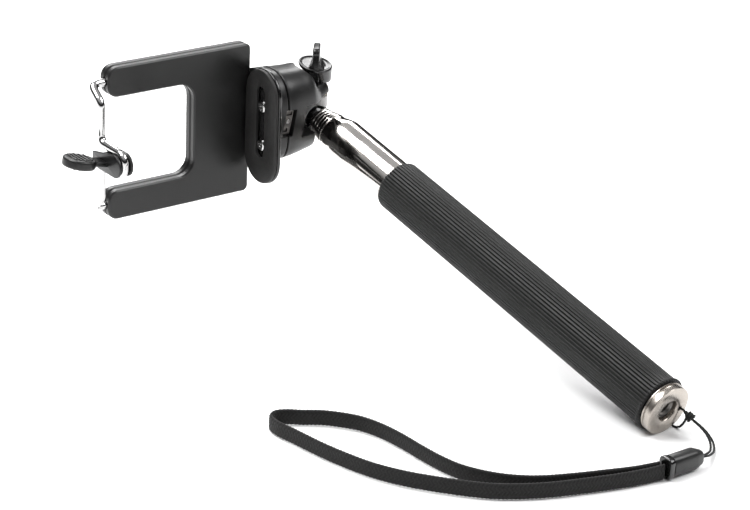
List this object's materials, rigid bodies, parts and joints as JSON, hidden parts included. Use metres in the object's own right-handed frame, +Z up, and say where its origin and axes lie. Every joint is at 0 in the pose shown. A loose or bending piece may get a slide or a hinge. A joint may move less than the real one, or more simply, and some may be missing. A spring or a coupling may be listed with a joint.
{
  "type": "selfie stick",
  "caption": "Telescopic hand pole with ribbed grip and wrist strap, a clamped ball joint and a phone clamp with a sprung wire jaw",
  "frame": {"origin": "on the pole's axis, near the middle of the grip", "axes": "+Z up from the surface it lies on, +Y along the pole towards the phone clamp, +X across the clamp from the wire jaw to the fixed jaw"},
  "size_m": [0.1256, 0.2176, 0.0832],
  "materials": {
    "polished_steel": "bright polished",
    "plain_steel": "zinc plated",
    "satin_nickel": "turned, satin",
    "black_plastic": "satin moulded",
    "gloss_black": "smooth gloss",
    "black_rubber": "matt, ribbed",
    "pale_plastic": "natural acetal",
    "brass": "turned",
    "webbing": "woven polyester"
  },
  "bodies": {
    "handle": {"outer_tube": "polished_steel", "grip_sleeve": "black_rubber", "end_cap": "satin_nickel", "thread_insert": "polished_steel", "lanyard": "webbing", "lanyard_knot": "webbing", "strap_ferrule": "black_plastic", "ferrule_collar": "gloss_black", "wrist_strap": "webbing"},
    "section_1": {"section_1_tube": "polished_steel", "section_1_collar": "polished_steel", "section_1_bush": "pale_plastic"},
    "section_2": {"section_2_tube": "polished_steel", "section_2_collar": "polished_steel", "section_2_bush": "pale_plastic"},
    "section_3": {"section_3_tube": "polished_steel", "section_3_collar": "polished_steel", "section_3_bush": "pale_plastic"},
    "section_4": {"section_4_tube": "polished_steel", "section_4_collar": "polished_steel", "section_4_bush": "pale_plastic"},
    "section_5": {"section_5_tube": "polished_steel", "section_5_collar": "polished_steel", "section_5_bush": "pale_plastic"},
    "ball": {"ball_stud": "gloss_black"},
    "liner": {"socket_liner": "pale_plastic"},
    "head": {"ball_housing": "black_plastic", "base_shell": "black_plastic", "back_frame": "black_plastic", "back_cover": "black_plastic", "cover_screw_1": "plain_steel", "cover_screw_2": "plain_steel", "cover_screw_3": "plain_steel", "cover_screw_4": "plain_steel", "jaw_plate": "gloss_black", "jaw_pad": "black_rubber", "plate_screw_1": "polished_steel", "plate_screw_2": "polished_steel", "insert_nut": "brass", "clamp_shoe": "pale_plastic", "window_bracket": "plain_steel", "bracket_pin": "plain_steel", "return_spring_lower": "plain_steel", "return_spring_upper": "plain_steel"},
    "knob_and_screw": {"knob": "black_plastic", "clamp_screw": "plain_steel"},
    "sprung_jaw": {"wire_jaw": "polished_steel", "jaw_inner_pad": "black_rubber", "jaw_pull_tab": "black_plastic", "rod_collar_lower": "plain_steel", "rod_collar_upper": "plain_steel"}
  },
  "joints": [
    {"name": "section_1_slide", "type": "slide", "parent": "handle", "child": "section_1", "axis": [-0.0383, 0.9722, 0.2311], "range_m": [0, 0.12]},
    {"name": "section_2_slide", "type": "slide", "parent": "section_1", "child": "section_2", "axis": [-0.0383, 0.9722, 0.2311], "range_m": [0, 0.12]},
    {"name": "section_3_slide", "type": "slide", "parent": "section_2", "child": "section_3", "axis": [-0.0383, 0.9722, 0.2311], "range_m": [0, 0.12]},
    {"name": "section_4_slide", "type": "slide", "parent": "section_3", "child": "section_4", "axis": [-0.0383, 0.9722, 0.2311], "range_m": [0, 0.12]},
    {"name": "section_5_slide", "type": "slide", "parent": "section_4", "child": "section_5", "axis": [-0.0383, 0.9722, 0.2311], "range_m": [0, 0.12]},
    {"name": "ball_roll", "type": "hinge", "parent": "section_5", "child": "ball", "pos_m": [-0.00445, 0.11316, 0.02689], "axis": [-0.0383, 0.9722, 0.2311], "continuous": true},
    {"name": "ball_tilt", "type": "hinge", "parent": "ball", "child": "liner", "pos_m": [-0.00445, 0.11316, 0.02689], "axis": [1, 0, 0], "range_deg": [0, 20]},
    {"name": "ball_pan", "type": "hinge", "parent": "liner", "child": "head", "pos_m": [-0.00445, 0.11316, 0.02689], "axis": [0, 0, 1], "range_deg": [-30, 0]},
    {"name": "knob_turn", "type": "hinge", "parent": "head", "child": "knob_and_screw", "pos_m": [-0.00288, 0.11294, 0.04251], "axis": [0, 0, 1], "range_deg": [0, 110]},
    {"name": "jaw_slide", "type": "slide", "parent": "head", "child": "sprung_jaw", "axis": [-1, 0, 0], "range_m": [0, 0.022], "stiffness_N_per_m": 120, "springref_m": -0.01, "deforming": ["return_spring_lower", "return_spring_upper"]}
  ]
}
